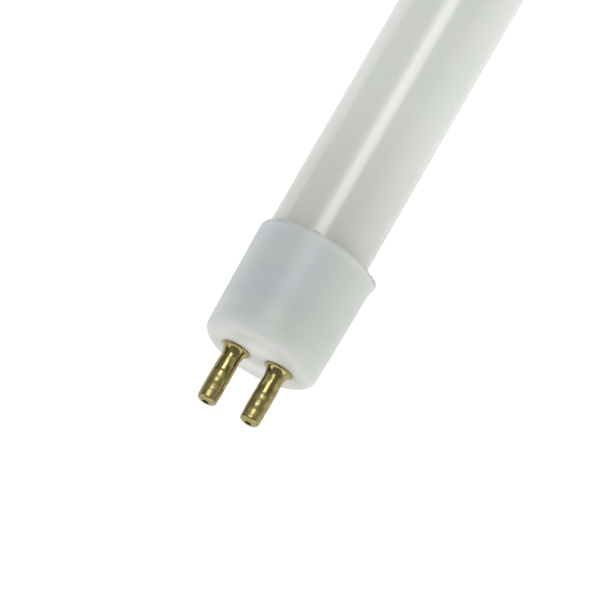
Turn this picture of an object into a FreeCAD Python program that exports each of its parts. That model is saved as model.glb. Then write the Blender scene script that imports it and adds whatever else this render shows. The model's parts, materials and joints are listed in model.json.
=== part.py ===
import FreeCAD, Part
import math
import os
from collections import namedtuple

import Sketcher

# A slim two-pin fluorescent tube, in millimetres. The tube lies along X with the origin at the
# middle of its glass, +Z up. The left end is at -X, the right end is the same end turned half
# round about Z. Each end piece is drawn about its own Z axis, which points out of the lamp, with
# z = 0 at the end cap's flat face.

Vector = FreeCAD.Vector
Placement = FreeCAD.Placement
Rotation = FreeCAD.Rotation

SIZES = [
    # the whole lamp and its glass
    ("face_distance", 206.0, "from one end cap's face to the other's"),
    ("glass_dia", 12.0, "glass tube, outside"),
    ("glass_end_gap", 2.6, "from the end of the glass to the cap's end wall"),
    ("glass_rim_width", 2.2, "rounded rim where the glass turns back into its stem"),
    ("stem_depth", 5.0, "from the end of the glass in to the pressed seal"),
    ("stem_dia", 4.6, "the stem's hollow at the pressed seal"),
    ("stub_dia", 2.6, "sealed-off exhaust stub in the middle of the stem"),
    ("stub_stand", 1.0, "how far the stub stands out past the glass"),
    ("stub_round", 0.9, "rounding of the stub's melted tip"),
    # the moulded end caps
    ("cap_length", 13.9, "from the cap's rim to its flat face"),
    ("cap_wall", 0.615, "side wall at the rim"),
    ("cap_draft", 1.0, "slope of the side, in degrees"),
    ("cap_end_wall", 1.4, "wall that carries the pins"),
    ("cap_offset", 0.4, "how far the cap sits off the glass axis"),
    ("cap_face_round", 1.3, "rounding between side and face"),
    ("cap_rim_round", 0.15, "rounding of the rim's outer edge"),
    ("cap_bore_round", 0.8, "rounding at the bottom of the bore"),
    ("nib_height", 0.37, "burr on the rim, above the side"),
    ("nib_radius", 4.7, "the burr's own rounding round the rim"),
    ("nib_length", 1.2, "how far the burr runs along the side"),
    ("nib_sink", 0.08, "how far the burr's foot ends under the side"),
    ("nib_angle", 22.0, "the burr's place round the rim, in degrees"),
    # the cement between cap and glass
    ("cement_film", 0.06, "cement where the cap comes nearest to the glass"),
    ("cement_recess", 0.8, "from the cap's rim down to the cement"),
    ("cement_stop", 1.6, "from the cement back to the end of the glass"),
    # the hollow brass pins
    ("pin_pitch", 5.3, "between the two pins"),
    ("pin_length", 7.0, "from the cap's face to the pin's tip"),
    ("pin_neck_dia", 2.12, "barrel and neck"),
    ("pin_swell", 0.11, "how far the crimped stretch stands out past the neck"),
    ("pin_taper", 0.05, "how far the tip draws in again"),
    ("pin_grip_start", 3.0, "from the face to the straight stretch"),
    ("pin_grip_length", 2.2, "the straight stretch"),
    ("pin_tip_round", 0.32, "rounding of the tip"),
    ("flare_width", 0.8, "how far the trumpet flange stands out past the neck"),
    ("flare_height", 1.16, "from the face to where the flare meets the neck"),
    ("flare_edge", 0.18, "thickness of the flange's edge"),
    ("rivet_width", 0.39, "how far the inner head stands out past the barrel"),
    ("rivet_height", 0.3, "thickness of the inner head"),
    ("pin_fit", 0.02, "gap between the barrel and its hole"),
    ("pin_bore_dia", 0.86, "the hole right through the pin"),
    ("pin_mouth_width", 0.35, "how far the inner end of that hole opens out"),
    ("crimp_start", 3.2, "from the face to the first pair of crimp dents"),
    ("crimp_step", 1.8, "from one pair of dents to the next"),
    ("crimp_radius", 1.0, "the tool's rounded nose"),
    # the lead-in wires
    ("wire_dia", 0.5, "lead-in wire"),
    ("wire_bend", 0.8, "radius of its two bends, on the centre line"),
    ("wire_lead", 0.4, "straight wire in front of the pin's inner head"),
    ("wire_recess", 0.5, "from the pin's tip in to the cut end of the wire"),
]

# Lengths that follow from the sheet, as expressions
GLASS_RADIUS = "Sizes.glass_dia / 2"
GLASS_HALF = "(Sizes.face_distance / 2 - Sizes.cap_end_wall - Sizes.glass_end_gap)"
RIM_MIDDLE = "(Sizes.glass_dia / 2 - Sizes.glass_rim_width / 2)"
STEM_MOUTH = "(Sizes.glass_dia / 2 - Sizes.glass_rim_width)"
GLASS_END = "(Sizes.cap_end_wall + Sizes.glass_end_gap)"
BORE_RADIUS = "(Sizes.glass_dia / 2 + Sizes.cap_offset + Sizes.cement_film)"
CAP_RADIUS = "(Sizes.glass_dia / 2 + Sizes.cap_offset + Sizes.cement_film + Sizes.cap_wall)"
CEMENT_FRONT = "(Sizes.cap_length - Sizes.cement_recess)"
NECK_RADIUS = "Sizes.pin_neck_dia / 2"
GRIP_RADIUS = "(Sizes.pin_neck_dia / 2 + Sizes.pin_swell)"
RIVET_TOP = "(Sizes.cap_end_wall + Sizes.rivet_height)"
CRIMP_DEPTH = "(Sizes.pin_bore_dia - Sizes.wire_dia) / 2"
WIRE_SPREAD = "(Sizes.stem_dia + Sizes.stub_dia) / 4"

# A corner of an outline: where it is, how it is rounded, and a point that the side to the next
# corner bows through where that side is an arc
Corner = namedtuple("Corner", "x y rounding via", defaults=(None, None))

doc = FreeCAD.newDocument("fluorescent_tube")
sheet = doc.addObject("Spreadsheet::Sheet", "Sizes")
for row, (alias, value, meaning) in enumerate(SIZES, start=1):
    sheet.set(f"A{row}", meaning)
    sheet.set(f"B{row}", str(value))
    sheet.setAlias(f"B{row}", alias)
doc.recompute()


def value_of(expression):
    """The number that an expression gives, for a first guess at a sketch's shape."""
    return float(sheet.evalExpression(expression))


def origin_plane(body, role):
    return next(plane for plane in body.Origin.OriginFeatures if plane.Role == role)


def new_sketch(body, name, role):
    sketch = body.newObject("Sketcher::SketchObject", name)
    sketch.AttachmentSupport = [(origin_plane(body, role), "")]
    sketch.MapMode = "FlatFace"
    return sketch


def fix_length(sketch, kind, elements, expression):
    """Add a dimension and bind it to the sheet."""
    index = sketch.addConstraint(Sketcher.Constraint(kind, *elements, value_of(expression)))
    sketch.setExpression(f"Constraints[{index}]", expression)


def fix_point(sketch, element, end, x, y):
    """Hold a point at x, y from the sketch's origin."""
    for kind, expression, axis in (("DistanceX", x, -2), ("DistanceY", y, -1)):
        if expression == "0":
            sketch.addConstraint(Sketcher.Constraint("PointOnObject", element, end, axis))
        else:
            fix_length(sketch, kind, (-1, 1, element, end), expression)


def add_arc(sketch, centre, radius, start, stop, anticlockwise):
    """Add an arc and return its number with the numbers of its first and last ends."""
    low, high = (start, stop) if anticlockwise else (stop, start)
    low_angle = math.atan2(low.y - centre.y, low.x - centre.x)
    high_angle = math.atan2(high.y - centre.y, high.x - centre.x)
    if high_angle < low_angle:
        high_angle += 2 * math.pi
    circle = Part.Circle(centre, Vector(0, 0, 1), radius)
    arc = sketch.addGeometry(Part.ArcOfCircle(circle, low_angle, high_angle), False)
    return (arc, 1, 2) if anticlockwise else (arc, 2, 1)


def add_rounding(sketch, before, corner, after, radius):
    """Add the arc that rounds a corner between two straight sides."""
    to_before = (before - corner).normalize()
    to_after = (after - corner).normalize()
    half_angle = to_before.getAngle(to_after) / 2
    start = corner + to_before * (radius / math.tan(half_angle))
    stop = corner + to_after * (radius / math.tan(half_angle))
    centre = corner + (to_before + to_after).normalize() * (radius / math.sin(half_angle))
    anticlockwise = to_before.cross(to_after).z < 0
    return add_arc(sketch, centre, radius, start, stop, anticlockwise), start, stop


def add_bow(sketch, start, via, stop):
    """Add the arc that runs from start to stop through via."""
    circle = Part.Circle(start, via, stop)
    anticlockwise = (via - start).cross(stop - via).z > 0
    return add_arc(sketch, circle.Center, circle.Radius, start, stop, anticlockwise)


def draw_outline(sketch, corners, closed=True):
    """Draw straight and bowed sides through the corners, fully tied to the sheet."""
    count = len(corners)
    places = [Vector(value_of(c.x), value_of(c.y), 0) for c in corners]
    sides_wanted = count if closed else count - 1

    # each corner's rounding comes first, because it sets where the sides beside it stop
    roundings = {}
    leaves = list(places)
    arrives = list(places)
    for i, corner in enumerate(corners):
        if corner.rounding:
            before, after = places[i - 1], places[(i + 1) % count]
            radius = value_of(corner.rounding)
            arc, start, stop = add_rounding(sketch, before, places[i], after, radius)
            roundings[i] = arc
            arrives[i] = start
            leaves[i] = stop
            fix_length(sketch, "Radius", (arc[0],), corner.rounding)

    sides = []
    for i in range(sides_wanted):
        start, stop = leaves[i], arrives[(i + 1) % count]
        via = corners[i].via
        if via:
            middle = Vector(value_of(via[0]), value_of(via[1]), 0)
            side = add_bow(sketch, start, middle, stop)
            mark = sketch.addGeometry(Part.Point(middle), True)
            fix_point(sketch, mark, 1, *via)
            sketch.addConstraint(Sketcher.Constraint("PointOnObject", mark, 1, side[0]))
        else:
            line = sketch.addGeometry(Part.LineSegment(start, stop), False)
            side = (line, 1, 2)
        sides.append(side)

    for i, corner in enumerate(corners):
        coming = sides[i - 1] if closed or i > 0 else None
        going = sides[i] if i < sides_wanted else None
        if i in roundings:
            arc, first, last = roundings[i]
            mark = sketch.addGeometry(Part.Point(places[i]), True)
            sketch.addConstraint(Sketcher.Constraint("PointOnObject", mark, 1, coming[0]))
            sketch.addConstraint(Sketcher.Constraint("PointOnObject", mark, 1, going[0]))
            sketch.addConstraint(Sketcher.Constraint("Tangent", coming[0], coming[2], arc, first))
            sketch.addConstraint(Sketcher.Constraint("Tangent", arc, last, going[0], going[1]))
            fix_point(sketch, mark, 1, corner.x, corner.y)
            continue
        if coming and going:
            joint = Sketcher.Constraint("Coincident", coming[0], coming[2], going[0], going[1])
            sketch.addConstraint(joint)
        held = (going[0], going[1]) if going else (coming[0], coming[2])
        fix_point(sketch, *held, corner.x, corner.y)


def add_circle(sketch, y, radius):
    """Add a circle that is centred on the sketch's vertical axis."""
    centre = Vector(0, value_of(y), 0)
    circle = Part.Circle(centre, Vector(0, 0, 1), value_of(radius))
    index = sketch.addGeometry(circle, False)
    fix_point(sketch, index, 3, "0", y)
    fix_length(sketch, "Radius", (index,), radius)


def revolve(body, name, kind, corners, axis="V_Axis"):
    """Turn an outline right round an axis of the XZ plane."""
    sketch = new_sketch(body, f"{name}_outline", "XZ_Plane")
    draw_outline(sketch, corners)
    turned = body.newObject(kind, name)
    turned.Profile = sketch
    turned.ReferenceAxis = (sketch, [axis])
    turned.Angle = 360
    return turned


def glass_end(sign):
    """The rim, stem hollow and exhaust stub at one end, from the outside in to the axis."""
    end = f"{sign} * {GLASS_HALF}"
    shoulder = f"{sign} * ({GLASS_HALF} - Sizes.glass_rim_width / 2)"
    seal = f"{sign} * ({GLASS_HALF} - Sizes.stem_depth)"
    tip = f"{sign} * ({GLASS_HALF} + Sizes.stub_stand)"
    return [
        Corner(shoulder, GLASS_RADIUS, via=(end, RIM_MIDDLE)),
        Corner(shoulder, STEM_MOUTH),
        Corner(seal, "Sizes.stem_dia / 2"),
        Corner(seal, "Sizes.stub_dia / 2"),
        Corner(tip, "Sizes.stub_dia / 2", rounding="Sizes.stub_round"),
        Corner(tip, "0"),
    ]


def glass_tube():
    """The sealed glass bulb, one solid: its ends turn back into a stem with an exhaust stub."""
    body = doc.addObject("PartDesign::Body", "glass_tube")
    right = glass_end("1")
    left = glass_end("-1")
    # the left end runs the other way, so the bow that follows its first corner moves back by one
    rim_bow = left[0].via
    left = [corner._replace(via=None) for corner in reversed(left)]
    left[-2] = left[-2]._replace(via=rim_bow)
    revolve(body, "glass", "PartDesign::Revolution", right + left, axis="H_Axis")
    return body


def end_cap(name):
    """The moulded cap: a drafted cup with a burr on its rim and two holes for the pins."""
    body = doc.addObject("PartDesign::Body", name)
    rim = "-Sizes.cap_length"
    face_radius = f"({CAP_RADIUS} - Sizes.cap_length * tan(Sizes.cap_draft))"
    revolve(body, "side", "PartDesign::Revolution", [
        Corner("0", "0"),
        Corner(face_radius, "0", rounding="Sizes.cap_face_round"),
        Corner(CAP_RADIUS, rim, rounding="Sizes.cap_rim_round"),
        Corner("0", rim),
    ])
    cap_burr(body)
    revolve(body, "bore", "PartDesign::Groove", [
        Corner("0", "-Sizes.cap_end_wall"),
        Corner(BORE_RADIUS, "-Sizes.cap_end_wall", rounding="Sizes.cap_bore_round"),
        Corner(BORE_RADIUS, rim),
        Corner("0", rim),
    ])

    holes = new_sketch(body, "pin_hole_circles", "XY_Plane")
    for side in ("-1", "1"):
        add_circle(holes, f"{side} * Sizes.pin_pitch / 2", f"{NECK_RADIUS} + Sizes.pin_fit")
    pocket = body.newObject("PartDesign::Pocket", "pin_holes")
    pocket.Profile = holes
    pocket.Type = "ThroughAll"
    return body


def cap_burr(body):
    """A small cone, set off centre, that comes through the side only beside the rim."""
    rim = "-Sizes.cap_length"
    axis_x = f"({CAP_RADIUS} + Sizes.nib_height - Sizes.nib_radius)"
    fall = "(Sizes.nib_height + Sizes.nib_sink + Sizes.nib_length * tan(Sizes.cap_draft))"
    foot = f"({axis_x} + Sizes.nib_radius - {fall})"
    foot_height = "-(Sizes.cap_length - Sizes.nib_length)"
    sketch = new_sketch(body, "burr_outline", "XZ_Plane")
    # the sketch turns about the cap's axis, from the X side past the front to the burr's place
    sketch.AttachmentOffset = Placement(Vector(), Rotation(Vector(0, -1, 0), 90))
    sketch.setExpression("AttachmentOffset.Rotation.Angle", "90 + Sizes.nib_angle")
    draw_outline(sketch, [
        Corner(axis_x, rim),
        Corner(f"({axis_x} + Sizes.nib_radius)", rim),
        Corner(foot, foot_height),
        Corner(axis_x, foot_height),
    ])
    middle_line = Part.LineSegment(
        Vector(value_of(axis_x), value_of(rim), 0),
        Vector(value_of(axis_x), value_of(foot_height), 0),
    )
    index = sketch.addGeometry(middle_line, True)
    fix_point(sketch, index, 1, axis_x, rim)
    fix_point(sketch, index, 2, axis_x, foot_height)
    burr = body.newObject("PartDesign::Revolution", "burr")
    burr.Profile = sketch
    burr.ReferenceAxis = (sketch, ["Axis0"])
    burr.Angle = 360


def cement_ring(name):
    """Cement that fills the uneven gap between the bore and the glass."""
    body = doc.addObject("PartDesign::Body", name)
    ring = new_sketch(body, "ring_circles", "XY_Plane")
    ring.setExpression("AttachmentOffset.Base.z", f"-{CEMENT_FRONT}")
    add_circle(ring, "0", BORE_RADIUS)
    add_circle(ring, "Sizes.cap_offset", GLASS_RADIUS)
    pad = body.newObject("PartDesign::Pad", "ring")
    pad.Profile = ring
    pad.setExpression("Length", f"{CEMENT_FRONT} - {GLASS_END} - Sizes.cement_stop")
    return body


def crimp_tool(name, growth):
    """Four crossing bars, two on each side of a pin, whose noses press the dents."""
    bars = []
    for row, height in enumerate(("Sizes.crimp_start", "Sizes.crimp_start + Sizes.crimp_step")):
        for side in (-1, 1):
            bar = doc.addObject("Part::Cylinder", f"{name}_bar_{row}_{side % 3}")
            bar.setExpression("Radius", f"Sizes.crimp_radius + {growth}")
            bar.setExpression("Height", "2 * Sizes.pin_neck_dia")
            bar.Placement = Placement(Vector(), Rotation(Vector(1, 0, 0), 90))
            reach = f"({GRIP_RADIUS} - {CRIMP_DEPTH} + Sizes.crimp_radius)"
            bar.setExpression("Placement.Base.x", f"{side} * {reach}")
            bar.setExpression("Placement.Base.y", "Sizes.pin_neck_dia")
            bar.setExpression("Placement.Base.z", height)
            bars.append(bar)
    tool = doc.addObject("Part::MultiFuse", name)
    tool.Shapes = bars
    return tool


def cut(name, base, tool):
    result = doc.addObject("Part::Cut", name)
    result.Base = base
    result.Tool = tool
    return result


def contact_pin(name):
    """A hollow brass pin, riveted through the end wall and dented to grip its wire."""
    blank = doc.addObject("PartDesign::Body", f"{name}_blank")
    flare_rise = "(Sizes.flare_height - Sizes.flare_edge)"
    grip_stop = "(Sizes.pin_grip_start + Sizes.pin_grip_length)"
    rivet_radius = f"({NECK_RADIUS} + Sizes.rivet_width)"
    flange_radius = f"({NECK_RADIUS} + Sizes.flare_width)"
    # the flare bows through the point where a quarter round would have its middle
    bow = "(1 - sqrt(0.5))"
    flare_middle = (
        f"{NECK_RADIUS} + {bow} * Sizes.flare_width",
        f"Sizes.flare_edge + {bow} * {flare_rise}",
    )
    tip_radius = f"({GRIP_RADIUS} - Sizes.pin_taper)"
    revolve(blank, "blank", "PartDesign::Revolution", [
        Corner("0", f"-{RIVET_TOP}"),
        Corner(rivet_radius, f"-{RIVET_TOP}", rounding="Sizes.rivet_height / 2"),
        Corner(rivet_radius, "-Sizes.cap_end_wall"),
        Corner(NECK_RADIUS, "-Sizes.cap_end_wall"),
        Corner(NECK_RADIUS, "0"),
        Corner(flange_radius, "0"),
        Corner(flange_radius, "Sizes.flare_edge", via=flare_middle),
        Corner(NECK_RADIUS, "Sizes.flare_height"),
        Corner(GRIP_RADIUS, "Sizes.pin_grip_start"),
        Corner(GRIP_RADIUS, grip_stop),
        Corner(tip_radius, "Sizes.pin_length", rounding="Sizes.pin_tip_round"),
        Corner("0", "Sizes.pin_length"),
    ])

    passage = doc.addObject("PartDesign::Body", f"{name}_passage")
    mouth_radius = "(Sizes.pin_bore_dia / 2 + Sizes.pin_mouth_width)"
    revolve(passage, "passage", "PartDesign::Revolution", [
        Corner("0", f"-{RIVET_TOP}"),
        Corner(mouth_radius, f"-{RIVET_TOP}"),
        Corner("Sizes.pin_bore_dia / 2", f"-{RIVET_TOP} + Sizes.pin_mouth_width"),
        Corner("Sizes.pin_bore_dia / 2", "Sizes.pin_length"),
        Corner("0", "Sizes.pin_length"),
    ])

    # the wall keeps its thickness where it is pressed in, so the passage narrows to the wire
    wall = f"{GRIP_RADIUS} - Sizes.pin_bore_dia / 2"
    dented = cut(f"{name}_dented", blank, crimp_tool(f"{name}_dents", "0"))
    narrowed = cut(f"{name}_narrowed", passage, crimp_tool(f"{name}_inner_dents", wall))
    return cut(name, dented, narrowed)


def lead_wire(name, side):
    """The wire from the pressed seal out into its pin, with two bends between."""
    body = doc.addObject("PartDesign::Body", name)
    seal = f"-({GLASS_END} + Sizes.stem_depth)"
    start_y = f"{side} * {WIRE_SPREAD}"
    pin_y = f"{side} * Sizes.pin_pitch / 2 - Sizes.cap_offset"
    route = new_sketch(body, "route", "YZ_Plane")
    draw_outline(route, [
        Corner(start_y, seal),
        Corner(start_y, f"-{GLASS_END}", rounding="Sizes.wire_bend"),
        Corner(pin_y, f"-({RIVET_TOP} + Sizes.wire_lead)", rounding="Sizes.wire_bend"),
        Corner(pin_y, "Sizes.pin_length - Sizes.wire_recess"),
    ], closed=False)
    section = new_sketch(body, "section", "XY_Plane")
    section.setExpression("AttachmentOffset.Base.z", seal)
    add_circle(section, start_y, "Sizes.wire_dia / 2")
    pipe = body.newObject("PartDesign::AdditivePipe", "wire")
    pipe.Profile = section
    pipe.Spine = (route, [])
    return body


def seat(piece, sign, across):
    """Move an end piece to the left (-1) or right (1) end, so far across from the glass axis."""
    out_of_left_end = Rotation(Vector(0, 1, 0), -90)
    half_turn = Rotation(Vector(0, 0, 1), 180 if sign > 0 else 0)
    piece.Placement = Placement(Vector(), half_turn * out_of_left_end)
    piece.setExpression("Placement.Base.x", f"{sign} * Sizes.face_distance / 2")
    piece.setExpression("Placement.Base.y", f"{-sign} * ({across})")
    return piece


def check_document():
    """Stop at any failed object, loose sketch, cut that cut nothing, or unsound solid."""
    for item in doc.Objects:
        if "Invalid" in item.State or "Error" in item.State:
            raise RuntimeError(f"{item.Label} failed: {item.State}")
        if item.TypeId == "Sketcher::SketchObject" and not item.FullyConstrained:
            raise RuntimeError(f"{item.Label} isn't fully constrained")
        if item.TypeId in ("PartDesign::Groove", "PartDesign::Pocket"):
            if item.Shape.Volume >= item.BaseFeature.Shape.Volume:
                raise RuntimeError(f"{item.Label} cuts nothing")


def export(pieces):
    os.makedirs("parts", exist_ok=True)
    for piece in pieces:
        if piece.Shape.isNull() or not piece.Shape.isValid() or len(piece.Shape.Solids) != 1:
            raise RuntimeError(f"{piece.Label} isn't one sound solid")
        piece.Shape.exportStep(f"parts/{piece.Label}.step")
        print(piece.Label, round(piece.Shape.Volume, 3), "mm3")


def build():
    pieces = [glass_tube()]
    for end, sign in (("left", -1), ("right", 1)):
        pieces.append(seat(end_cap(f"{end}_end_cap"), sign, "-Sizes.cap_offset"))
        pieces.append(seat(cement_ring(f"{end}_cement_ring"), sign, "-Sizes.cap_offset"))
        for side in (-1, 1):
            place = "front" if side == sign else "back"
            across = f"{side} * Sizes.pin_pitch / 2 - Sizes.cap_offset"
            pieces.append(seat(contact_pin(f"{end}_{place}_pin"), sign, across))
            pieces.append(seat(lead_wire(f"{end}_{place}_lead_wire", side), sign, "0"))
    doc.recompute()
    check_document()
    export(pieces)


build()
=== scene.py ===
# %% [markdown]
# # A slim two-pin fluorescent tube
# The real lamp is an opaque white glass tube about as thick as a finger. At each end a milky
# moulded cap is cemented over the glass, and two hollow brass pins stand out of the cap's face.
# The solids of the lamp are already made and measured. They arrive here as a fixed frame, and
# everything that is added takes its place and size from them.

# %% Load the measured frame
import json
import math

import bmesh
import bpy
from mathutils import Matrix, Vector

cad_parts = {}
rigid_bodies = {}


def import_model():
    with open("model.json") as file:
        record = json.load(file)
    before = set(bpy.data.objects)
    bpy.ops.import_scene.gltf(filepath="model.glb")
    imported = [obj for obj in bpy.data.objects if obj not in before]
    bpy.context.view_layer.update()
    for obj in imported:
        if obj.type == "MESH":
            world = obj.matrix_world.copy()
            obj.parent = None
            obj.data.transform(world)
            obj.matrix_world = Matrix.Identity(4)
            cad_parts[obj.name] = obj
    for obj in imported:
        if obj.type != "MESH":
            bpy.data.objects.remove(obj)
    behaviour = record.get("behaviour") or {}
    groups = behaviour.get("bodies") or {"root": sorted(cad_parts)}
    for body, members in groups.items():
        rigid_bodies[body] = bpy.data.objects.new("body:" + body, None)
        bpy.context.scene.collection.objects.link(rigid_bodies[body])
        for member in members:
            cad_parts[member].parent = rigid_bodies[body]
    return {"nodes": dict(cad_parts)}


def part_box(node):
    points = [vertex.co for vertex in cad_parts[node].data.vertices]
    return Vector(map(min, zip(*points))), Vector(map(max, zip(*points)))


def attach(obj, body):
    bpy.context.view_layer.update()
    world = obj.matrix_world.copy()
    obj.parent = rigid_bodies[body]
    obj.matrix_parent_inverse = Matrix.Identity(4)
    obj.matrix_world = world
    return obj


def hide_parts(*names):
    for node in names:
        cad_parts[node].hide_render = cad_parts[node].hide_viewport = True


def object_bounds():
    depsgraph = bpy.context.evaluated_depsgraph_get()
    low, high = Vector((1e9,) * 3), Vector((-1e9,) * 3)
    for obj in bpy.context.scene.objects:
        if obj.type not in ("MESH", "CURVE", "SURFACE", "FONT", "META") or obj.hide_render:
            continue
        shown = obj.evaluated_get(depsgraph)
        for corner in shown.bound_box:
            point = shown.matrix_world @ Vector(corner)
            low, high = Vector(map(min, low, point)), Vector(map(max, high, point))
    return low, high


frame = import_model()
cad_box = [list(corner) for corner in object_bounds()]
print("solids in the frame:", sorted(frame["nodes"]))
print("box of the solids in metres:", cad_box)

# %% [markdown]
# ## Measure what the new pieces have to fit
# Blender works in metres here, and the lamp is small, so a value named MM keeps the sizes
# readable. Whatever the frame can tell is read from it: the places of the cap's face and rim, how
# far off the glass axis the cap sits, and where each pin stands. Only sizes that a box can't show,
# such as the radius of a rounding, are written out as numbers.

# %% Sizes of the left end
MM = 0.001
cap_low, cap_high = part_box("left_end_cap")
face_x, rim_x = cap_low.x, cap_high.x
rim_radius = cap_high.z
cap_y = cap_high.y - rim_radius
bore_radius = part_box("left_cement_ring")[1].z
draft_angle = math.radians(1.0)
face_radius = rim_radius - (rim_x - face_x) * math.tan(draft_angle)
END_WALL = 1.4 * MM
print(f"cap from x = {face_x / MM:.2f} to {rim_x / MM:.2f} mm, {cap_y / MM:.2f} mm off the axis")
print(f"radius {face_radius / MM:.2f} mm at the face, {rim_radius / MM:.2f} mm at the rim")


def pin_axis(node):
    """The y at which a pin's axis runs, because every pin is round about its own axis."""
    low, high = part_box(node)
    return (low.y + high.y) / 2


# %% [markdown]
# ## Small helpers for working as by hand
# Operators act on whatever is selected, and the frame's solids are still selected after loading.
# So everything is deselected before a new primitive is added. One helper selects a piece alone and
# opens it in edit mode. Another selects those of its vertices, edges or faces that pass a test of
# their place, just as a person would pick them with the mouse. The last two put an object's place
# into its mesh, and close an edit.

# %% Select by place
SMOOTH_ANGLE = math.radians(40)


def open_only(piece):
    """Make a piece the only selected object and open it in edit mode."""
    bpy.ops.object.select_all(action="DESELECT")
    piece.select_set(True)
    bpy.context.view_layer.objects.active = piece
    bpy.ops.object.mode_set(mode="EDIT")


def pick(piece, kind, test):
    """Select the vertices, edges or faces whose middle passes a test, and count them."""
    bpy.ops.mesh.select_mode(type={"verts": "VERT", "edges": "EDGE", "faces": "FACE"}[kind])
    bpy.ops.mesh.select_all(action="DESELECT")
    mesh = bmesh.from_edit_mesh(piece.data)
    picked = 0
    for item in getattr(mesh, kind):
        if kind == "verts":
            middle = item.co
        elif kind == "edges":
            middle = (item.verts[0].co + item.verts[1].co) / 2
        else:
            middle = item.calc_center_median()
        if not item.hide and test(middle, item):
            item.select_set(True)
            picked += 1
    bmesh.update_edit_mesh(piece.data)
    return picked


def apply_place():
    """Put the place, turn and size of the selected object into its mesh."""
    bpy.ops.object.transform_apply(location=True, rotation=True, scale=True)


def finish_piece(piece, name):
    """Close the edit, name the piece, put its place into its mesh and smooth its shading."""
    bpy.ops.object.mode_set(mode="OBJECT")
    apply_place()
    bpy.ops.object.shade_smooth_by_angle(angle=SMOOTH_ANGLE)
    piece.name = piece.data.name = name
    print(f"{name}: {len(piece.data.polygons)} faces")


# %% [markdown]
# ## The cap's body
# The cap is a cup that tapers a little towards its face, so that it leaves its mould. A cylinder
# is a good start: one end is scaled for the taper, inset for the wall and extruded inwards for the
# bore. The generous rounding between side and face, and the small ones at the rim, are bevels.
# A turned outline would give the same form, but this order shows how such a cup is made by hand.

# %% Model the cap
CAP_SIDES = 240
FACE_ROUND = 1.3 * MM
RIM_ROUND = 0.15 * MM
BORE_ROUND = 0.8 * MM
NEAR = 0.02 * MM


def radius_of(point):
    """Distance from the cap's own axis."""
    return math.hypot(point.y - cap_y, point.z)


def on_circle(x, radius):
    """A test for edges that lie on one circle of the cap."""
    def test(middle, edge):
        in_plane = all(abs(vert.co.x - x) < NEAR for vert in edge.verts)
        return in_plane and abs(radius_of(edge.verts[0].co) - radius) < NEAR
    return test


def round_edge(piece, x, radius, width, segments):
    """Bevel one circle of edges."""
    pick(piece, "edges", on_circle(x, radius))
    bpy.ops.mesh.bevel(offset=width, segments=segments, affect="EDGES", clamp_overlap=True)


bpy.ops.object.select_all(action="DESELECT")
bpy.ops.mesh.primitive_cylinder_add(
    vertices=CAP_SIDES, radius=face_radius, depth=rim_x - face_x, end_fill_type="NGON",
    location=((face_x + rim_x) / 2, cap_y, 0), rotation=(0, math.pi / 2, 0),
)
cap = bpy.context.object
apply_place()
open_only(cap)
pick(cap, "faces", lambda middle, face: middle.x > rim_x - NEAR)
taper = rim_radius / face_radius
bpy.ops.transform.resize(value=(1, taper, taper), center_override=(rim_x, cap_y, 0))
bpy.ops.mesh.inset(thickness=rim_radius - bore_radius)
bpy.ops.mesh.extrude_region_move(
    TRANSFORM_OT_translate={"value": (face_x + END_WALL - rim_x, 0, 0)}
)
round_edge(cap, face_x + END_WALL, bore_radius, BORE_ROUND, segments=4)
round_edge(cap, rim_x, rim_radius, RIM_ROUND, segments=3)
round_edge(cap, face_x, face_radius, FACE_ROUND, segments=10)
bpy.ops.object.mode_set(mode="OBJECT")
print("cap body:", len(cap.data.polygons), "faces")

# %% [markdown]
# ## The rim's burr and ragged edge
# Moulded rims are rarely clean. This one has a small lip of flash on one side, where the mould's
# halves met, and its edge wanders a little. The flash is pulled out with proportional editing, as
# one would tug clay: a few rim vertices move, and their neighbours follow less and less. The bore
# is hidden meanwhile, so that it keeps its shape. More loops near the rim come first, cut with
# bisect at a list of steps in millimetres, because a shape can only bend where it has vertices.

# %% Cut loops and pull out the burr
BURR_HEIGHT = 0.26 * MM
BURR_LENGTH = 1.1 * MM
BURR_BLUNT_END = 0.32 * MM
BURR_ANGLE = math.radians(10)
BURR_HALF_WIDTH = math.radians(17)
BORE_MARGIN = 0.1 * MM
LOOP_STEPS = (0.3, 0.45, 0.6, 0.8, 1.0, 1.25, 1.6, 2.1, 2.8, 3.8, 5.0, 6.4, 7.8, 9.2, 10.6)
burr_out = Vector((0, -math.cos(BURR_ANGLE), -math.sin(BURR_ANGLE)))


def side_angle(point):
    """How far round the cap a point is from the burr, in radians."""
    across = Vector((0, point.y - cap_y, point.z))
    return across.angle(burr_out) if across.length > 0 else math.pi


open_only(cap)
for step in LOOP_STEPS:
    bpy.ops.mesh.select_all(action="SELECT")
    bpy.ops.mesh.bisect(plane_co=(rim_x - step * MM, 0, 0), plane_no=(1, 0, 0))
bore_limit = (bore_radius + rim_radius) / 2 - BORE_MARGIN
pick(cap, "faces", lambda middle, face: radius_of(middle) < bore_limit)
bpy.ops.mesh.hide(unselected=False)
moved = pick(
    cap, "verts",
    lambda point, vert: point.x > rim_x - BURR_BLUNT_END and side_angle(point) < BURR_HALF_WIDTH,
)
bpy.ops.transform.translate(
    value=burr_out * BURR_HEIGHT, use_proportional_edit=True,
    proportional_edit_falloff="SHARP", proportional_size=BURR_LENGTH,
)
bpy.ops.mesh.reveal()
bpy.ops.object.mode_set(mode="OBJECT")
lowest = min(vert.co.y for vert in cap.data.vertices)
print(f"burr: {moved} vertices pulled, now out to y = {lowest / MM:.3f} mm")

# %% [markdown]
# A Displace modifier then makes the edge wander. It pushes each vertex by a smooth noise, and a
# vertex group says how much each one takes: all of it at the rim, none a short way down the side.
# The noise is measured in metres, so its waves have the size of real moulding flaws. A second
# noise, longer and much fainter, keeps the side from looking machined.

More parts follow.
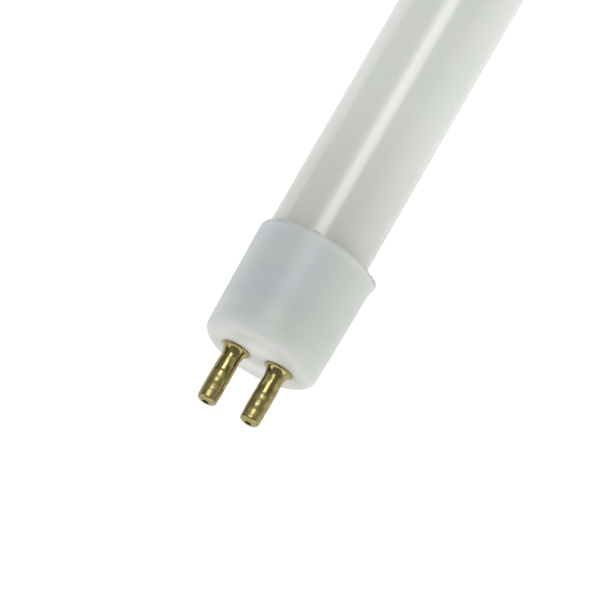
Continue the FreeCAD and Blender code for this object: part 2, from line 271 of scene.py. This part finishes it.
# %% Roughen the rim
RIM_WAVE = 0.75 * MM
RIM_WANDER = 0.62 * MM
RIM_REACH = 0.7 * MM
SIDE_WAVE = 5 * MM
SIDE_WANDER = 0.03 * MM
SIDE_FADE = 2 * MM


def weigh(piece, group_name, weight_of):
    """Make a vertex group whose weights follow a rule of place."""
    group = piece.vertex_groups.new(name=group_name)
    for vert in piece.data.vertices:
        group.add([vert.index], max(0, min(1, weight_of(vert.co))), "REPLACE")


def wander(piece, group_name, wave, depth, direction="NORMAL"):
    """Push the vertices of a group in and out by a smooth noise, and apply that."""
    noise = bpy.data.textures.new(f"{piece.name}_{group_name}", type="CLOUDS")
    noise.noise_scale = wave
    modifier = piece.modifiers.new(group_name, "DISPLACE")
    modifier.texture = noise
    modifier.texture_coords = "LOCAL"
    modifier.direction = direction
    modifier.strength = depth
    modifier.vertex_group = group_name
    bpy.context.view_layer.objects.active = piece
    bpy.ops.object.modifier_apply(modifier=modifier.name)


weigh(cap, "rim", lambda point: 1 - (rim_x - point.x) / RIM_REACH)
weigh(
    cap, "side",
    lambda point: (rim_x - point.x) / SIDE_FADE if point.x > face_x + SIDE_FADE else 0,
)
wander(cap, "rim", RIM_WAVE, RIM_WANDER, "X")
wander(cap, "side", SIDE_WAVE, SIDE_WANDER)
print("rim now ends at x =", round(max(vert.co.x for vert in cap.data.vertices) / MM, 3), "mm")

# %% [markdown]
# ## Holes for the pins
# The pins are riveted through the cap's end wall. A Boolean modifier takes two round bars out of
# it. It comes last, because it leaves faces with many corners, and those don't bend well.

# %% Drill the end wall
PIN_FIT = 0.02 * MM
BARREL_RADIUS = 1.06 * MM
DRILL_SIDES = 48
for node in ("left_front_pin", "left_back_pin"):
    bpy.ops.object.select_all(action="DESELECT")
    bpy.ops.mesh.primitive_cylinder_add(
        vertices=DRILL_SIDES, radius=BARREL_RADIUS + PIN_FIT, depth=2 * END_WALL,
        location=(face_x + END_WALL / 2, pin_axis(node), 0), rotation=(0, math.pi / 2, 0),
    )
    drill = bpy.context.object
    bpy.context.view_layer.objects.active = cap
    modifier = cap.modifiers.new("drill", "BOOLEAN")
    modifier.operation = "DIFFERENCE"
    modifier.object = drill
    bpy.ops.object.modifier_apply(modifier=modifier.name)
    bpy.data.objects.remove(drill)
open_only(cap)
finish_piece(cap, "left_cap_moulding")

# %% [markdown]
# ## One turned brass pin
# A contact pin is a turned, hollow piece: an inner riveted head, a barrel, a trumpet that spreads
# into a flange on the cap's face, a slightly thicker stretch for the holder's contact, and a
# domed tip with a hole. The outline is a list of rings, each a distance out of the face and a
# radius, both in millimetres. The trumpet and the tip are quarters of an ellipse, which run into
# the straight shank without a corner. The small edges of the head and of the flange's underside
# are given as steps from a height and a radius.

# %% Draw the pin's outline
HEAD_RADIUS, HEAD_HEIGHT = 1.45, 0.3
FLANGE_RADIUS, FLANGE_EDGE, FLARE_HEIGHT = 1.74, 0.14, 1.45
SHANK_RADIUS = 1.14
GRIP_RADIUS, GRIP_START, GRIP_STOP = 1.19, 2.7, 5.4
TIP_RADIUS, TIP_ROUND, TIP_DOME = 1.15, 0.32, 0.1
HOLE_RADIUS, MOUTH_ROUND, COUNTERSINK = 0.43, 0.07, 0.3
FACE_GAP = 0.01
HEAD_STEPS = ((0.0, -0.12), (0.05, -0.03), (0.15, 0.0))
UNDERSIDE_STEPS = ((FACE_GAP, -0.05), (0.05, 0.0), (0.11, 0.02))
barrel = BARREL_RADIUS / MM
end_wall = END_WALL / MM
pin_length = (face_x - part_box("left_front_pin")[0].x) / MM


def quarter(count):
    """Angles that divide a quarter turn."""
    return [math.pi / 2 * step / count for step in range(count + 1)]


def straight(start, stop, rings):
    """Rings along a straight side, from just after its start to its stop."""
    return [
        tuple(low + (high - low) * ring / rings for low, high in zip(start, stop))
        for ring in range(1, rings + 1)
    ]


flare = [
    (FLARE_HEIGHT - (FLARE_HEIGHT - FLANGE_EDGE) * math.cos(turn),
     FLANGE_RADIUS - (FLANGE_RADIUS - SHANK_RADIUS) * math.sin(turn))
    for turn in quarter(10)
]
mouth_radius = HOLE_RADIUS + MOUTH_ROUND
tip = [
    (pin_length - TIP_ROUND + (TIP_ROUND + TIP_DOME) * math.sin(turn),
     mouth_radius + (TIP_RADIUS - mouth_radius) * math.cos(turn))
    for turn in quarter(12)
]
mouth = [
    (pin_length + TIP_DOME - MOUTH_ROUND + MOUTH_ROUND * math.cos(turn),
     mouth_radius - MOUTH_ROUND * math.sin(turn))
    for turn in quarter(3)
]
head_top = -end_wall - HEAD_HEIGHT
pin_rings = [
    (head_top, HOLE_RADIUS + COUNTERSINK),
    *((head_top + rise, HEAD_RADIUS + wider) for rise, wider in HEAD_STEPS),
    (-end_wall, HEAD_RADIUS), (-end_wall, barrel), (FACE_GAP, barrel),
    *((rise, FLANGE_RADIUS + wider) for rise, wider in UNDERSIDE_STEPS),
    *flare,
    *straight(flare[-1], (GRIP_START, GRIP_RADIUS), rings=12),
    *straight((GRIP_START, GRIP_RADIUS), (GRIP_STOP, GRIP_RADIUS), rings=16),
    *straight((GRIP_STOP, GRIP_RADIUS), tip[0], rings=10),
    *tip[1:], *mouth,
    *straight(mouth[-1], (head_top + COUNTERSINK, HOLE_RADIUS), rings=40),
    (head_top, HOLE_RADIUS + COUNTERSINK),
]
print(f"outline: {len(pin_rings)} rings, {pin_length:.2f} mm out of the face")

# %% [markdown]
# The outline becomes a piece as on a lathe. A circle is extruded from ring to ring and scaled each
# time, and the last ring meets the first, so the hole goes right through. Where they meet, the
# doubled vertices are merged, and then the normals are turned outwards.

# %% Turn the pin
PIN_SIDES = 72
MERGE_DISTANCE = 0.002 * MM


def turned_piece(rings, sides, centre_y):
    """Extrude a circle from ring to ring along X. The last ring lies on the first."""
    (out, radius), *rest = rings
    bpy.ops.object.select_all(action="DESELECT")
    bpy.ops.mesh.primitive_circle_add(
        vertices=sides, radius=radius * MM, fill_type="NOTHING",
        location=(face_x - out * MM, centre_y, 0), rotation=(0, math.pi / 2, 0),
    )
    piece = bpy.context.object
    apply_place()
    open_only(piece)
    bpy.ops.mesh.select_all(action="SELECT")
    for next_out, next_radius in rest:
        move = ((out - next_out) * MM, 0, 0)
        growth = next_radius / radius
        bpy.ops.mesh.extrude_region_move(TRANSFORM_OT_translate={"value": move})
        bpy.ops.transform.resize(
            value=(1, growth, growth), center_override=(face_x - next_out * MM, centre_y, 0)
        )
        out, radius = next_out, next_radius
    bpy.ops.mesh.select_all(action="SELECT")
    bpy.ops.mesh.remove_doubles(threshold=MERGE_DISTANCE)
    bpy.ops.mesh.normals_make_consistent(inside=False)
    bpy.ops.object.mode_set(mode="OBJECT")
    return piece


front_pin = turned_piece(pin_rings, PIN_SIDES, pin_axis("left_front_pin"))
print("turned pin:", len(front_pin.data.polygons), "faces")

# %% [markdown]
# ## Crimp the pins
# A crimping tool pinches each pin on its two broad sides, twice, to grip the wire inside. The
# second pin is a copy of the first. Each one is then dented in its own place, because no two
# strokes of the tool fall alike: a few vertices are pressed towards the axis with proportional
# editing. The dents are shallow, so the pin's outline stays straight and only its highlight breaks
# up. A noise afterwards leaves the crimped half of the skin slightly uneven. The crimps are given
# in millimetres out of the cap's face.

# %% Copy and dent
DENT_DEPTH = 0.09 * MM
DENT_REACH = 0.6 * MM
DENT_HALF_LENGTH = 0.2 * MM
DENT_HALF_WIDTH = math.radians(20)
OUTER_SKIN = 0.9 * MM
SKIN_START = 2.9 * MM
SKIN_FADE = 0.8 * MM
SKIN_WAVE = 0.6 * MM
SKIN_WANDER = 0.02 * MM
CRIMPS = {"left_front_pin": (4.0, 5.85), "left_back_pin": (3.7, 5.35)}


def copy_of(piece, move=None, half_turn=False):
    """Copy a piece with its own mesh, and move it or turn it half round the lamp's middle."""
    bpy.ops.object.select_all(action="DESELECT")
    piece.select_set(True)
    bpy.context.view_layer.objects.active = piece
    bpy.ops.object.duplicate()
    if move:
        bpy.ops.transform.translate(value=move)
    if half_turn:
        bpy.ops.transform.rotate(value=math.pi, orient_axis="Z", center_override=(0, 0, 0))
    apply_place()
    return bpy.context.object


def dent(piece, centre_y, out, side):
    """Press one dent into the upper (1) or lower (-1) side of a pin."""
    dent_x = face_x - out * MM

    def under_the_tool(point, vert):
        across, up = point.y - centre_y, point.z * side
        outside = math.hypot(across, up) > OUTER_SKIN
        near_stroke = abs(point.x - dent_x) < DENT_HALF_LENGTH
        return outside and near_stroke and abs(math.atan2(across, up)) < DENT_HALF_WIDTH

    pick(piece, "verts", under_the_tool)
    bpy.ops.transform.translate(
        value=(0, 0, -side * DENT_DEPTH), use_proportional_edit=True,
        proportional_edit_falloff="SMOOTH", proportional_size=DENT_REACH,
    )


step_to_back = pin_axis("left_back_pin") - pin_axis("left_front_pin")
back_pin = copy_of(front_pin, move=(0, step_to_back, 0))
for piece, node in ((front_pin, "left_front_pin"), (back_pin, "left_back_pin")):
    open_only(piece)
    for crimp in CRIMPS[node]:
        for side in (-1, 1):
            dent(piece, pin_axis(node), crimp, side)
    finish_piece(piece, node.replace("pin", "contact"))
    weigh(piece, "skin", lambda point: (face_x - SKIN_START - point.x) / SKIN_FADE)
    wander(piece, "skin", SKIN_WAVE, SKIN_WANDER)

# %% [markdown]
# ## The other end
# The lamp's other end is the same end turned half round, so the cap and both pins are copied and
# turned about the lamp's middle. A copy gets its own mesh, and its turn is applied to that mesh,
# so that every piece keeps its object at the origin. The seen end's front pin becomes the far
# end's back pin.

# %% Copy the end
pieces = {
    "left_end_cap": cap,
    "left_front_pin": front_pin,
    "left_back_pin": back_pin,
    "right_end_cap": copy_of(cap, half_turn=True),
    "right_back_pin": copy_of(front_pin, half_turn=True),
    "right_front_pin": copy_of(back_pin, half_turn=True),
}
for node, piece in pieces.items():
    new_name = node.replace("end_cap", "cap_moulding").replace("pin", "contact")
    piece.name = piece.data.name = new_name
    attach(piece, "root")
    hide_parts(node)
    print(f"{new_name} stands for {node}")

# %% [markdown]
# ## Effects that several finishes share
# No real surface has one even colour. Four small node groups hold the unevenness that more than one
# finish needs: soft patches, a fine grain, lines left by drawing metal, and a mask for how near a
# point is to the lamp's ends. Adding, setting and linking a node takes several lines each time, so
# three helpers come first: one adds a node, and two start and end a group.

# %% Helpers for node trees
def add_node(tree, kind, inputs=None, **settings):
    """Add a node, set its options, and set or link its inputs."""
    node = tree.nodes.new(kind)
    for name, value in settings.items():
        setattr(node, name, value)
    for name, value in (inputs or {}).items():
        if isinstance(value, bpy.types.NodeSocket):
            tree.links.new(value, node.inputs[name])
        else:
            node.inputs[name].default_value = value
    return node


def new_group(name, inputs, output):
    """Start a node group with number inputs and one number output."""
    tree = bpy.data.node_groups.new(name, "ShaderNodeTree")
    for label, value in inputs.items():
        socket = tree.interface.new_socket(label, in_out="INPUT", socket_type="NodeSocketFloat")
        socket.default_value = value
    tree.interface.new_socket(output, in_out="OUTPUT", socket_type="NodeSocketFloat")
    place = add_node(tree, "ShaderNodeTexCoord").outputs["Object"]
    return tree, add_node(tree, "NodeGroupInput").outputs, place


def end_group(tree, output, value):
    """Give a group its output and return the finished group."""
    add_node(tree, "NodeGroupOutput", {output: value})
    print("node group", tree.name)
    return tree


# %% [markdown]
# Each group reads Object coordinates, which are metres here, so a pattern has a real size and stays
# where it is when the camera moves. The numbers given to new_group are only the values that a
# group starts with, and each material sets its own.

# %% Build the node groups
def soft_patches_group():
    """A cloudy mask; Patches is how many fit in a metre."""
    tree, given, place = new_group("soft_patches", {"Patches": 200.0, "Spread": 0.2}, "Mask")
    noise = add_node(tree, "ShaderNodeTexNoise", {
        "Vector": place, "Scale": given["Patches"], "Detail": 3.0, "Roughness": 0.5,
    })
    low = add_node(tree, "ShaderNodeMath", {0: 0.5, 1: given["Spread"]}, operation="SUBTRACT")
    high = add_node(tree, "ShaderNodeMath", {0: 0.5, 1: given["Spread"]}, operation="ADD")
    mask = add_node(tree, "ShaderNodeMapRange", {
        "Value": noise.outputs["Fac"], "From Min": low.outputs[0], "From Max": high.outputs[0],
    }, interpolation_type="SMOOTHSTEP")
    return end_group(tree, "Mask", mask.outputs["Result"])


def fine_grain_group():
    """A fine even roughness, as a height."""
    tree, given, place = new_group("fine_grain", {"Grains": 4000.0}, "Height")
    noise = add_node(tree, "ShaderNodeTexNoise", {
        "Vector": place, "Scale": given["Grains"], "Detail": 2.0, "Roughness": 0.6,
    })
    return end_group(tree, "Height", noise.outputs["Fac"])


def drawn_lines_group():
    """Fine lines along X, as drawing through a die leaves them."""
    tree, given, place = new_group("drawn_lines", {"Lines": 5000.0}, "Mask")
    stretched = add_node(tree, "ShaderNodeMapping", {"Vector": place, "Scale": (0.04, 1, 1)})
    noise = add_node(tree, "ShaderNodeTexNoise", {
        "Vector": stretched.outputs["Vector"], "Scale": given["Lines"], "Detail": 2.0,
    })
    return end_group(tree, "Mask", noise.outputs["Fac"])


def towards_ends_group():
    """0 nearer to the lamp's middle than Start, 1 beyond Stop, both in metres."""
    tree, given, place = new_group("towards_ends", {"Start": 0.0, "Stop": 0.1}, "Mask")
    along = add_node(tree, "ShaderNodeSeparateXYZ", {"Vector": place}).outputs["X"]
    distance = add_node(tree, "ShaderNodeMath", {0: along}, operation="ABSOLUTE")
    mask = add_node(tree, "ShaderNodeMapRange", {
        "Value": distance.outputs[0], "From Min": given["Start"], "From Max": given["Stop"],
    }, interpolation_type="SMOOTHSTEP")
    return end_group(tree, "Mask", mask.outputs["Result"])


GROUPS = {
    "soft_patches": soft_patches_group(),
    "fine_grain": fine_grain_group(),
    "drawn_lines": drawn_lines_group(),
    "towards_ends": towards_ends_group(),
}

# %% [markdown]
# Colours are easier to judge as they show on a screen, from 0 to 255, but shaders count in light.
# One helper changes the first into the second. The others start a material, place a shared group
# in it, blend two colours or two numbers by a mask, and turn a height into a bump. A Mix node that
# blends colours has its mask and colours at the inputs 0, 6 and 7, and its result at output 2.

# %% Helpers for finishes
def shade(red, green, blue):
    """A screen colour as the linear colour a shader wants."""
    def linear(value):
        value /= 255
        return value / 12.92 if value <= 0.04045 else ((value + 0.055) / 1.055) ** 2.4
    return (linear(red), linear(green), linear(blue), 1.0)


def new_finish(name, **plain):
    """Start a material and set the shader inputs that are the same all over it."""
    material = bpy.data.materials.new(name)
    material.use_nodes = True
    shader = material.node_tree.nodes["Principled BSDF"]
    for label, value in plain.items():
        shader.inputs[label.replace("_", " ")].default_value = value
    return material, material.node_tree, shader.inputs


def effect(tree, name, **values):
    """Place a shared group and return its one output."""
    node = add_node(tree, "ShaderNodeGroup", node_tree=GROUPS[name])
    for label, value in values.items():
        node.inputs[label].default_value = value
    return node.outputs[0]


def blend(tree, mask, low, high):
    """Mix two colours, each a value or a socket, by a mask."""
    node = add_node(tree, "ShaderNodeMix", {0: mask, 6: low, 7: high}, data_type="RGBA")
    return node.outputs[2]


def between(tree, mask, low, high):
    """A number that goes from low to high with a mask."""
    node = add_node(tree, "ShaderNodeMapRange", {"Value": mask, "To Min": low, "To Max": high})
    return node.outputs["Result"]


def bump(tree, height, depth, under=None):
    """A Bump node of a real depth in metres."""
    node = add_node(tree, "ShaderNodeBump", {"Height": height, "Distance": depth})
    if under:
        tree.links.new(under, node.inputs["Normal"])
    return node.outputs["Normal"]


# %% [markdown]
# ## Opaque white glass
# The tube is clear glass with a chalky coating inside, so its colour is soft and its surface is
# hard and shiny. A light colour that scatters a little under the surface, with a low roughness on
# top, gives both. The coating is slightly uneven, and it greys towards the ends: partly the real
# darkening of the coating by the hot cathodes, partly painted shade for the cap's shadow on the
# glass near the rim. The frame's own glass solid has the right shape, so it stays and only gets
# this finish.

# %% Finish the glass
def glass_finish():
    material, tree, shader = new_finish(
        "phosphor_glass", IOR=1.7, Roughness=0.19, Subsurface_Weight=0.4, Subsurface_Scale=0.004,
        Subsurface_Radius=(1.0, 0.95, 0.9),
    )
    patches = effect(tree, "soft_patches", Patches=120.0, Spread=0.3)
    coating = blend(tree, patches, shade(227, 231, 225), shade(230, 233, 228))
    # Greyer towards the ends: cathode darkening, and painted shade of the cap's shadow near the
    # rim.
    ends = effect(tree, "towards_ends", Start=0.068, Stop=0.0895)
    tree.links.new(blend(tree, ends, coating, shade(214, 217, 209)), shader["Base Color"])
    grain = effect(tree, "fine_grain", Grains=350.0)
    tree.links.new(bump(tree, grain, 0.004 * MM), shader["Normal"])
    return material


def refinish(node, material):
    """Give a solid of the frame a better material."""
    piece = frame["nodes"][node]
    piece.material_slots[0].material = material
    print(f"{node}: {material.name}")


refinish("glass_tube", glass_finish())

# %% [markdown]
# ## Milky plastic
# The caps are moulded in a plastic that lets some light in and scatters it, so their shadows are
# soft. Subsurface scattering gives that depth. The side has grey cement and glass behind it and
# looks darker than the solid end wall, so the colour lightens over the shoulder, and again on the
# face. On the face it is painted lightest in the middle, painted light where the pins cast shade,
# and darker towards its edge, painted shade. Masks of the distance along the lamp's axis and away
# from it place those changes. On the side the colour is painted darker and bluer at the back and
# lighter and warmer in front, painted shade and light for how the room lights it, in faint
# patches. The rim is painted darker, a painted shade line where it meets the glass. Soft smears
# vary the gloss, and a fine grain from the mould makes the highlight broad and dull.

# %% Finish the caps
# The span in y over which the side's painted shade goes from the lighter front to the darker back.
BACK_SHADE_SPAN = (-5.5 * MM, 0.0)
# The radii between which the face's painted light in the middle fades to painted shade at its edge.
FACE_EDGE = (2.5 * MM, 5.5 * MM)
SHOULDER_STRENGTH = 0.45
PLASTIC_ROUGHNESS = (0.34, 0.46)


def plastic_finish():
    material, tree, shader = new_finish(
        "milky_plastic", IOR=1.5, Subsurface_Weight=0.6, Subsurface_Scale=0.002,
        Subsurface_Radius=(1.0, 1.0, 1.1),
    )
    place = add_node(tree, "ShaderNodeTexCoord").outputs["Object"]
    parts = add_node(tree, "ShaderNodeSeparateXYZ", {"Vector": place}).outputs
    # Painted shade and light: the side darker and bluer at the back, lighter and warmer in front.
    painted_back_shade = add_node(tree, "ShaderNodeMapRange", {
        "Value": parts["Y"], "From Min": BACK_SHADE_SPAN[0], "From Max": BACK_SHADE_SPAN[1],
    }, interpolation_type="SMOOTHSTEP").outputs["Result"]
    patches = effect(tree, "soft_patches", Patches=130.0, Spread=0.15)
    back = blend(tree, patches, shade(206, 214, 221), shade(206, 215, 215))
    front = blend(tree, patches, shade(216, 225, 222), shade(220, 225, 217))
    side = blend(tree, painted_back_shade, front, back)
    # Painted shade: a darker band at the rim, where it meets the glass.
    rim = effect(tree, "towards_ends", Start=0.0890, Stop=0.0897)
    side = blend(tree, rim, shade(170, 171, 168), side)
    shoulder = effect(tree, "towards_ends", Start=0.0977, Stop=0.1)
    lighter = between(tree, shoulder, 0.0, SHOULDER_STRENGTH)
    side = blend(tree, lighter, side, shade(228, 235, 224))

    # Painted light and shade on the face: lightest in the middle, where the pins cast shade, darker
    # towards the edge.
    from_axis = add_node(tree, "ShaderNodeCombineXYZ", {"Y": parts["Y"], "Z": parts["Z"]})
    radius = add_node(
        tree, "ShaderNodeVectorMath", {0: from_axis.outputs[0]}, operation="LENGTH"
    ).outputs["Value"]
    edge = add_node(tree, "ShaderNodeMapRange", {
        "Value": radius, "From Min": FACE_EDGE[0], "From Max": FACE_EDGE[1],
    }, interpolation_type="SMOOTHSTEP").outputs["Result"]
    end_wall = blend(tree, edge, shade(236, 236, 235), shade(212, 215, 211))
    face = effect(tree, "towards_ends", Start=0.101, Stop=0.1028)
    tree.links.new(blend(tree, face, side, end_wall), shader["Base Color"])
    smears = effect(tree, "soft_patches", Patches=600.0, Spread=0.25)
    tree.links.new(between(tree, smears, *PLASTIC_ROUGHNESS), shader["Roughness"])
    grain = effect(tree, "fine_grain", Grains=2500.0)
    tree.links.new(bump(tree, grain, 0.006 * MM), shader["Normal"])
    return material


milky_plastic = plastic_finish()

# %% [markdown]
# ## Cement
# A chalky off-white cement holds the cap to the glass. It shows only as a thin band down in the
# gap between the rim and the glass, dull and grainy.

# %% Finish the cement
def cement_finish():
    material, tree, shader = new_finish("cement", Roughness=0.95)
    patches = effect(tree, "soft_patches", Patches=900.0, Spread=0.2)
    dust = blend(tree, patches, shade(188, 184, 174), shade(222, 219, 210))
    tree.links.new(dust, shader["Base Color"])
    grain = effect(tree, "fine_grain", Grains=6000.0)
    tree.links.new(bump(tree, grain, 0.08 * MM), shader["Normal"])
    return material


cement = cement_finish()
for end in ("left", "right"):
    refinish(f"{end}_cement_ring", cement)

# %% [markdown]
# ## Worn brass
# The pins are bare brass that has been handled and pushed into holders. It is a full metal, whose
# colour is its reflection's. Age has dulled it, patches of brown tarnish darken it further, and
# fine drawn lines run along it. The outer part, where the crimps are, is scuffed rougher, and the
# tips are worn to a tan.

# %% Finish the pins
BRASS_ROUGHNESS = (0.08, 0.2)
SCUFF_ROUGHNESS = 0.18


def brass_finish():
    material, tree, shader = new_finish("brass", Metallic=1.0)
    lines = effect(tree, "drawn_lines", Lines=9000.0)
    tarnish = effect(tree, "soft_patches", Patches=1100.0, Spread=0.16)
    metal = blend(tree, lines, shade(160, 149, 97), shade(180, 169, 117))
    skin = blend(tree, tarnish, metal, shade(141, 128, 80))
    worn_tip = effect(tree, "towards_ends", Start=0.1083, Stop=0.1092)
    tree.links.new(blend(tree, worn_tip, skin, shade(162, 150, 100)), shader["Base Color"])
    polish = between(tree, tarnish, *BRASS_ROUGHNESS)
    crimped = effect(tree, "towards_ends", Start=0.1058, Stop=0.1068)
    scuffs = between(tree, crimped, 0.0, SCUFF_ROUGHNESS)
    roughness = add_node(tree, "ShaderNodeMath", {0: polish, 1: scuffs}, operation="ADD")
    tree.links.new(roughness.outputs[0], shader["Roughness"])
    grain = effect(tree, "fine_grain", Grains=5000.0)
    uneven = bump(tree, grain, 0.006 * MM)
    tree.links.new(bump(tree, lines, 0.006 * MM, under=uneven), shader["Normal"])
    return material


brass = brass_finish()
for node, piece in pieces.items():
    piece.data.materials.clear()
    piece.data.materials.append(milky_plastic if "cap" in node else brass)
    print(f"{piece.name}: {piece.data.materials[0].name}")

# %% [markdown]
# ## Dull lead wire
# The lead-in wires are thin and grey. Only their cut ends show, down in the pins' holes.

# %% Finish the wires
WIRE_ROUGHNESS = (0.35, 0.5)


def wire_finish():
    material, tree, shader = new_finish("lead_wire", Metallic=1.0)
    lines = effect(tree, "drawn_lines", Lines=14000.0)
    metal = blend(tree, lines, shade(150, 146, 140), shade(196, 193, 188))
    tree.links.new(metal, shader["Base Color"])
    patches = effect(tree, "soft_patches", Patches=1500.0, Spread=0.2)
    tree.links.new(between(tree, patches, *WIRE_ROUGHNESS), shader["Roughness"])
    return material


dull_wire = wire_finish()
for node in frame["nodes"]:
    if node.endswith("lead_wire"):
        refinish(node, dull_wire)

# %% [markdown]
# ## Floor
# The photograph shows the lamp against pure white. A large pale floor under the lamp glows a
# little by itself, as a light table does, and a little more for the camera than for the lamp, so
# that it stays white even in the lamp's shadow. A Light Path node tells such rays apart.

# %% Lay the floor
FLOOR_SIZE = 8
FLOOR_GLOW = (0.39, 0.62)


def floor_finish():
    material, tree, shader = new_finish("white_table", Roughness=0.9)
    camera_ray = add_node(tree, "ShaderNodeLightPath").outputs["Is Camera Ray"]
    patches = effect(tree, "soft_patches", Patches=3.0, Spread=0.3)
    paper = blend(tree, patches, shade(240, 240, 240), shade(244, 244, 244))
    tree.links.new(paper, shader["Base Color"])
    tree.links.new(paper, shader["Emission Color"])
    tree.links.new(between(tree, camera_ray, *FLOOR_GLOW), shader["Emission Strength"])
    return material


bpy.ops.object.select_all(action="DESELECT")
bpy.ops.mesh.primitive_plane_add(size=FLOOR_SIZE, location=(0, 0, cad_box[0][2]))
floor = bpy.context.object
floor.name = "floor"
apply_place()
floor.data.materials.append(floor_finish())
print("floor at z =", round(cad_box[0][2] / MM, 2), "mm")

# %% [markdown]
# ## Light
# One softbox hangs nearly overhead. Its reflection is the soft line left of the middle of the
# glass, and its place was found from that line: the glass is round, so each line along it mirrors
# one direction. The softbox's long side has to run with the lamp, so its three axes are worked out
# and put in a matrix, which says how it is turned.

# %% Hang the softbox
SOFTBOX_DISTANCE = 0.8
SOFTBOX_SIZE = (0.45, 0.4)
SOFTBOX_WATTS = 2.17
softbox_direction = Vector((0.3168, 0.108, 0.942)).normalized()
lamp_end = Vector((face_x, 0, 0))

softbox_light = bpy.data.lights.new("softbox", "AREA")
softbox_light.shape = "RECTANGLE"
softbox_light.size, softbox_light.size_y = SOFTBOX_SIZE
softbox_light.energy = SOFTBOX_WATTS
softbox = bpy.data.objects.new("softbox", softbox_light)
bpy.context.scene.collection.objects.link(softbox)
along = (Vector((1, 0, 0)) - softbox_direction * softbox_direction.x).normalized()
across = softbox_direction.cross(along)
softbox.location = lamp_end + softbox_direction * SOFTBOX_DISTANCE
softbox.rotation_euler = Matrix((along, across, softbox_direction)).transposed().to_euler()
softbox.visible_camera = False
print("softbox at", [round(value, 3) for value in softbox.location])

# %% [markdown]
# ## The room
# The rest of the light comes from the room, which is a world shader: a dim ceiling, and walls of
# different brightness around the foot of it. A wall is a direction, and the dot product says how
# far a ray points its way. The wall behind the lamp is nearly dark, and that gives the brass its
# dark side. The walls past the lamp's two ends are bright and light the cap's face. A small bright
# window in the far left corner puts a spark on the flare and the tip of each pin.

# %% Light the room
CEILING = 0.3
WALL_TOP = (0.3, 0.55)
WALL_EDGE = (0.2, 0.8)
WALLS = {
    "front": ((0, -1, 0), 0.68), "back": ((0, 1, 0), 0.1),
    "left": ((-1, 0, 0), 1.65), "right": ((1, 0, 0), 0.98),
}
WINDOW_FACING = (-0.434, 0.798, 0.418)
WINDOW_EDGE = (0.982, 0.992)
WINDOW_STRENGTH = 1.7

room = bpy.data.worlds.new("room")
bpy.context.scene.world = room
room.use_nodes = True
sky = room.node_tree
direction = add_node(sky, "ShaderNodeTexCoord").outputs["Generated"]


def light_from(facing, edge, strength):
    """Light that is full where a ray points one way, and fades out across an edge."""
    towards = add_node(
        sky, "ShaderNodeVectorMath", {0: direction, 1: facing}, operation="DOT_PRODUCT"
    ).outputs["Value"]
    return add_node(sky, "ShaderNodeMapRange", {
        "Value": towards, "From Min": edge[0], "From Max": edge[1], "To Max": strength,
    }, interpolation_type="SMOOTHSTEP").outputs["Result"]


walls = 0.0
for facing, strength in WALLS.values():
    wall = light_from(facing, WALL_EDGE, strength)
    walls = add_node(sky, "ShaderNodeMath", {0: walls, 1: wall}, operation="ADD").outputs[0]
height = add_node(sky, "ShaderNodeSeparateXYZ", {"Vector": direction}).outputs["Z"]
brightness = add_node(sky, "ShaderNodeMapRange", {
    "Value": height, "From Min": WALL_TOP[0], "From Max": WALL_TOP[1],
    "To Min": walls, "To Max": CEILING,
}, interpolation_type="SMOOTHSTEP").outputs["Result"]
window = light_from(WINDOW_FACING, WINDOW_EDGE, WINDOW_STRENGTH)
brightness = add_node(sky, "ShaderNodeMath", {0: brightness, 1: window}, operation="ADD").outputs[0]
background = next(node for node in sky.nodes if node.type == "BACKGROUND")
background.inputs["Color"].default_value = (1.0, 1.0, 1.0, 1.0)
sky.links.new(brightness, background.inputs["Strength"])
print("room:", len(WALLS), "walls and a window under a ceiling of", CEILING)

# %% [markdown]
# ## Camera
# The photograph was taken from far away compared with the lamp's size, because its two sides run
# almost parallel. So the camera has a long lens and stands back. Its height and side angles were
# measured from the ellipses of the cap's face and rim, and its aim from the places of both.

# %% Set the camera
CAMERA_ELEVATION = math.radians(68.9)
CAMERA_AZIMUTH = math.radians(-151.66)
PHOTO_WIDTH = 65.8 * MM
LENS, SENSOR = 1500.0, 36.0
AIM = Vector((-94.58, -1.17, -0.21)) * MM

to_camera = Vector((
    math.cos(CAMERA_ELEVATION) * math.cos(CAMERA_AZIMUTH),
    math.cos(CAMERA_ELEVATION) * math.sin(CAMERA_AZIMUTH),
    math.sin(CAMERA_ELEVATION),
))
camera_data = bpy.data.cameras.new("camera")
camera_data.lens = LENS
camera_data.sensor_width = SENSOR
camera = bpy.data.objects.new("camera", camera_data)
bpy.context.scene.collection.objects.link(camera)
camera.location = AIM + to_camera * PHOTO_WIDTH * LENS / SENSOR
camera.rotation_euler = to_camera.to_track_quat("Z", "Y").to_euler()
bpy.context.scene.camera = camera
bpy.context.scene.view_settings.view_transform = "Standard"
print("camera at", [round(value, 3) for value in camera.location])
